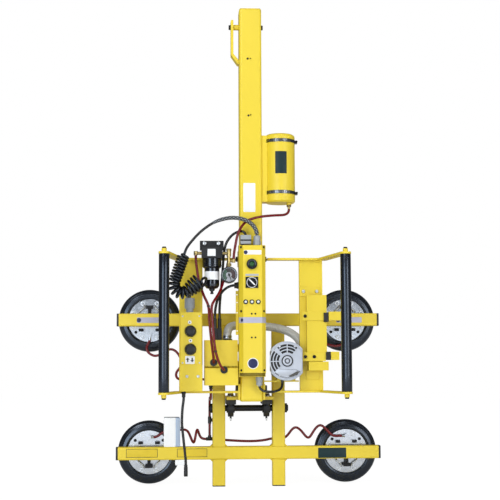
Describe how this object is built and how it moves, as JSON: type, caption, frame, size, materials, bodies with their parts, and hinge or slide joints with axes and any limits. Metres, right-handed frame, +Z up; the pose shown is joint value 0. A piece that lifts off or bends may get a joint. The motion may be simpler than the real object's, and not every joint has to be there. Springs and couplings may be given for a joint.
{
  "type": "vacuum lifter",
  "caption": "Hoist-hung vacuum lifter: square mast with lifting lug, tilting frame of rubber suction pads, and pump, reserve tank, filter, gauge, control box, pendant and grips.",
  "frame": {"origin": "centre of the lift eye, behind the top of the mast", "axes": "+Z up along the mast, +X to the right as the operator sees it, +Y away from the operator, the way the pads face"},
  "size_m": [1.06, 0.5806, 1.8924],
  "materials": {
    "yellow_paint": "glossy yellow powder coat on welded steel",
    "black_paint": "satin black paint",
    "black_casting": "black painted cast iron",
    "bolt_steel": "blackened and plated bolts",
    "bright_steel": "bright turned steel",
    "zinc_plate": "zinc plated sheet steel",
    "brass": "machined brass",
    "cast_aluminium": "die-cast aluminium",
    "black_gloss": "glossy black plastic",
    "black_plastic": "moulded black plastic",
    "grey_plastic": "grey moulded cable glands",
    "black_rubber": "black rubber",
    "pad_rubber": "glossy black sealing rubber",
    "red_hose": "dark red braided hose",
    "clear_hose": "translucent grey spiral hose"
  },
  "bodies": {
    "mast": {"mast_tube": "yellow_paint", "mast_caps": "yellow_paint", "lift_lug": "yellow_paint", "hanger_hook": "yellow_paint", "tilt_bracket": "yellow_paint", "bearing_blocks": "black_casting", "frame_bolts": "bolt_steel", "control_box": "yellow_paint", "control_cover": "yellow_paint", "panel_fittings": "black_gloss", "cable_glands": "grey_plastic", "reserve_tank": "yellow_paint", "tank_cradle": "yellow_paint", "tank_straps": "bright_steel", "handle_bars": "yellow_paint", "side_plates": "yellow_paint", "grips": "black_rubber", "pendant_bracket": "yellow_paint", "pendant_case": "yellow_paint", "storage_bracket": "yellow_paint", "storage_pads": "black_rubber", "filter_bracket": "black_paint", "filter_head": "black_paint", "filter_bowl": "black_gloss", "brass_fittings": "brass", "gauge_case": "black_gloss", "valve_box": "yellow_paint", "valve_plugs": "black_plastic", "motor_body": "black_paint", "fan_cover": "cast_aluminium", "pump_head": "cast_aluminium", "motor_bracket": "yellow_paint", "pump_hose": "clear_hose", "pendant_cable": "black_rubber", "curly_cord": "black_rubber", "red_hoses": "red_hose", "black_cables": "black_rubber", "power_lead": "black_rubber", "lead_plug": "black_plastic", "supply_hose": "red_hose"},
    "pad_frame": {"cross_bars": "yellow_paint", "spines": "yellow_paint", "end_plugs": "black_plastic", "tilt_shaft": "bolt_steel", "pad_mounts": "black_paint", "hose_tees": "black_plastic", "frame_hoses": "red_hose"},
    "pad_ul": {"pad_ring_ul": "pad_rubber", "pad_plate_ul": "zinc_plate"},
    "pad_ur": {"pad_ring_ur": "pad_rubber", "pad_plate_ur": "zinc_plate"},
    "pad_ll": {"pad_ring_ll": "pad_rubber", "pad_plate_ll": "zinc_plate"},
    "pad_lr": {"pad_ring_lr": "pad_rubber", "pad_plate_lr": "zinc_plate"},
    "switch": {"switch_knob": "black_gloss"},
    "button_up": {"upper_button": "black_plastic"},
    "button_down": {"lower_button": "black_plastic"},
    "needle": {"gauge_needle": "black_gloss"},
    "fan": {"cooling_fan": "black_plastic"}
  },
  "joints": [
    {"name": "frame_tilt", "type": "hinge", "parent": "mast", "child": "pad_frame", "pos_m": [0, 0.0754, -1.518], "axis": [1, 0, 0], "range_deg": [-90, 0], "deforming": ["supply_hose"]},
    {"name": "upper_left_pad_float", "type": "slide", "parent": "pad_frame", "child": "pad_ul", "axis": [0, 1, 0], "range_m": [-0.004, 0], "stiffness_N_per_m": 12000, "springref_m": 0.006},
    {"name": "upper_right_pad_float", "type": "slide", "parent": "pad_frame", "child": "pad_ur", "axis": [0, 1, 0], "range_m": [-0.004, 0], "stiffness_N_per_m": 12000, "springref_m": 0.006},
    {"name": "lower_left_pad_float", "type": "slide", "parent": "pad_frame", "child": "pad_ll", "axis": [0, 1, 0], "range_m": [-0.004, 0], "stiffness_N_per_m": 12000, "springref_m": 0.006},
    {"name": "lower_right_pad_float", "type": "slide", "parent": "pad_frame", "child": "pad_lr", "axis": [0, 1, 0], "range_m": [-0.004, 0], "stiffness_N_per_m": 12000, "springref_m": 0.006},
    {"name": "main_switch", "type": "hinge", "parent": "mast", "child": "switch", "pos_m": [-0.003, -0.241, -1.033], "axis": [0, 1, 0], "range_deg": [0, 90]},
    {"name": "lift_button", "type": "slide", "parent": "mast", "child": "button_up", "axis": [0, 1, 0], "range_m": [0, 0.005], "stiffness_N_per_m": 800, "springref_m": -0.002},
    {"name": "release_button", "type": "slide", "parent": "mast", "child": "button_down", "axis": [0, 1, 0], "range_m": [0, 0.005], "stiffness_N_per_m": 800, "springref_m": -0.002},
    {"name": "vacuum_needle", "type": "hinge", "parent": "mast", "child": "needle", "pos_m": [-0.089, -0.224, -1.003], "axis": [0, 1, 0], "range_deg": [-200, 70]},
    {"name": "fan_spin", "type": "hinge", "parent": "mast", "child": "fan", "pos_m": [0.133, -0.18, -1.331], "axis": [0, 1, 0], "continuous": true}
  ]
}
